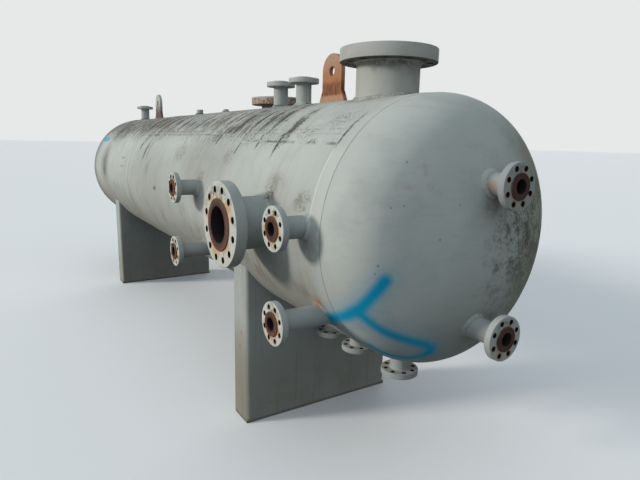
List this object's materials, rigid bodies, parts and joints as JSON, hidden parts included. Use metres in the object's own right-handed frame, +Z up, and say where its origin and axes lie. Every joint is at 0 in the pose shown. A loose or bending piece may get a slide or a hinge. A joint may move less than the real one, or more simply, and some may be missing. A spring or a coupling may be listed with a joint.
{
  "type": "three-phase separator",
  "caption": "Horizontal dished pressure vessel on two box saddles, with flanged nozzles, couplings, welds and lifting lugs.",
  "frame": {"origin": "middle of the near saddle's foot, on the floor", "axes": "+X along the vessel towards its nozzled near head, -Y towards the side nozzles, +Z up"},
  "size_m": [5.271, 1.2554, 1.888],
  "materials": {
    "shell_paint": "weathered chalky grey-white paint with dark streaks",
    "nozzle_paint": "faded blue-grey paint, rusted faces",
    "saddle_paint": "faded grey paint, dusty",
    "lug_rust": "rusted primer",
    "lug_paint": "chalky pale paint"
  },
  "bodies": {
    "root": {"side_large_nozzle": "nozzle_paint", "top_large_nozzle": "nozzle_paint", "shoulder_nozzle": "nozzle_paint", "head_gauge_nozzle_upper": "nozzle_paint", "head_gauge_nozzle_lower": "nozzle_paint", "side_gauge_nozzle_near_upper": "nozzle_paint", "side_gauge_nozzle_near_lower": "nozzle_paint", "side_gauge_nozzle_far_upper": "nozzle_paint", "side_gauge_nozzle_far_lower": "nozzle_paint", "top_small_nozzle_near": "nozzle_paint", "top_small_nozzle_middle": "nozzle_paint", "top_small_nozzle_far": "nozzle_paint", "drain_nozzle_near": "nozzle_paint", "drain_nozzle_middle": "nozzle_paint", "drain_nozzle_rear": "nozzle_paint", "near_shell_course": "shell_paint", "far_shell_course": "shell_paint", "near_head": "shell_paint", "far_head": "shell_paint", "near_closing_weld": "shell_paint", "far_closing_weld": "shell_paint", "shell_course_weld": "shell_paint", "long_seam_weld": "shell_paint", "side_nozzle_welds": "shell_paint", "top_nozzle_welds": "shell_paint", "drain_nozzle_welds": "shell_paint", "head_nozzle_welds": "shell_paint", "top_coupling_near": "shell_paint", "top_coupling_far": "shell_paint", "near_saddle_front_plate": "saddle_paint", "near_saddle_back_plate": "saddle_paint", "near_saddle_base_plate": "saddle_paint", "far_saddle_front_plate": "saddle_paint", "far_saddle_back_plate": "saddle_paint", "far_saddle_base_plate": "saddle_paint", "near_lifting_lug": "lug_rust", "far_lifting_lug": "lug_paint"}
  },
  "joints": []
}
